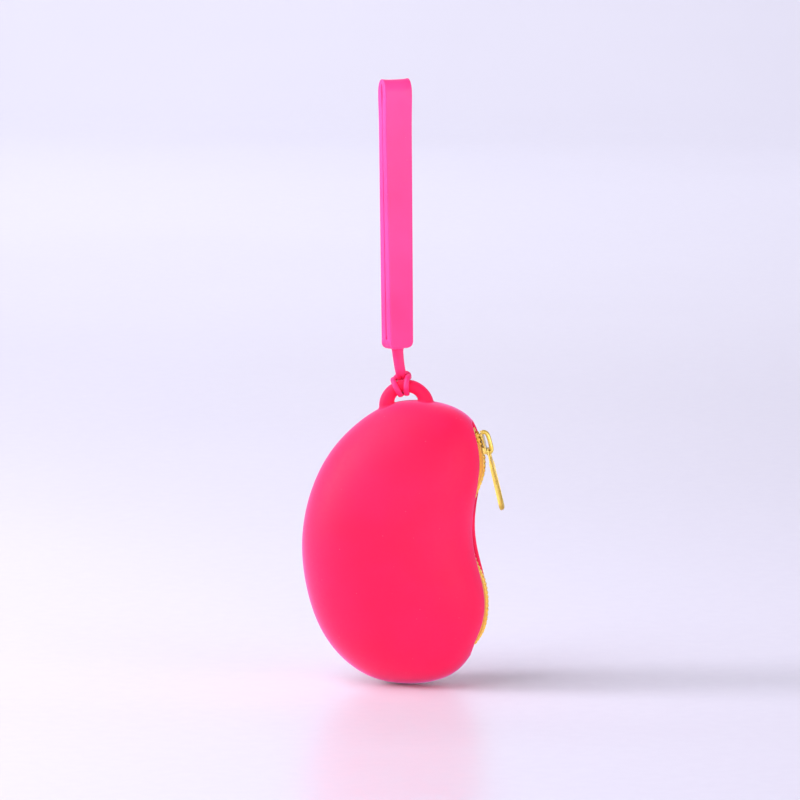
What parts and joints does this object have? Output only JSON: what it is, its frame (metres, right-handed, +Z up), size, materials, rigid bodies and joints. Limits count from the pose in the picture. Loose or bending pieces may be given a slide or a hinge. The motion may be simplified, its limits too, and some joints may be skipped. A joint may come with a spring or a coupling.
{
  "type": "silicone storage pouch",
  "caption": "Bean-shaped hollow silicone pouch with a zip down its hollow side and a wrist strap hitched on a moulded lug; it hangs from the strap's loop.",
  "frame": {"origin": "point inside the top of the wrist loop, where a hook, finger or thread holds the pouch up", "axes": "+Z up along the hanging strap, +X towards the zip, +Y away from the viewer, across the pouch's depth"},
  "size_m": [0.0855, 0.054, 0.2538],
  "materials": {
    "shell_silicone": "matte",
    "strap_silicone": "matte",
    "zip_tape": "woven",
    "zip_plastic": "satin",
    "zip_metal": "gloss"
  },
  "bodies": {
    "strap": {"wrist_strap": "strap_silicone"},
    "tether": {"tether_loop": "strap_silicone"},
    "pouch": {"near_shell_half": "shell_silicone", "far_shell_half": "shell_silicone", "strap_lug": "shell_silicone", "near_zip_tape": "zip_tape", "far_zip_tape": "zip_tape", "near_teeth_row": "zip_plastic", "far_teeth_row": "zip_plastic", "near_top_stop": "zip_plastic", "far_top_stop": "zip_plastic", "bottom_stop": "zip_plastic"},
    "slider": {"slider_body": "zip_metal"},
    "pull": {"pull_tab": "zip_metal"}
  },
  "joints": [
    {"name": "tether_flex", "type": "hinge", "parent": "strap", "child": "tether", "pos_m": [0.00105, 0, -0.11], "axis": [0, 1, 0], "range_deg": [-45, 45], "deforming": ["tether_loop"]},
    {"name": "pouch_swing", "type": "hinge", "parent": "tether", "child": "pouch", "pos_m": [0.00304, 0, -0.12561], "axis": [0.9781, 0, 0.2079], "range_deg": [-95, 95]},
    {"name": "slider_travel", "type": "slide", "parent": "pouch", "child": "slider", "axis": [0.0387, 0, -0.9993], "range_m": [0, 0.064], "deforming": ["near_teeth_row", "far_teeth_row", "near_zip_tape", "far_zip_tape"]},
    {"name": "pull_swing", "type": "hinge", "parent": "slider", "child": "pull", "pos_m": [0.03902, 0, -0.15135], "axis": [0, -1, 0], "range_deg": [0, 145]}
  ]
}
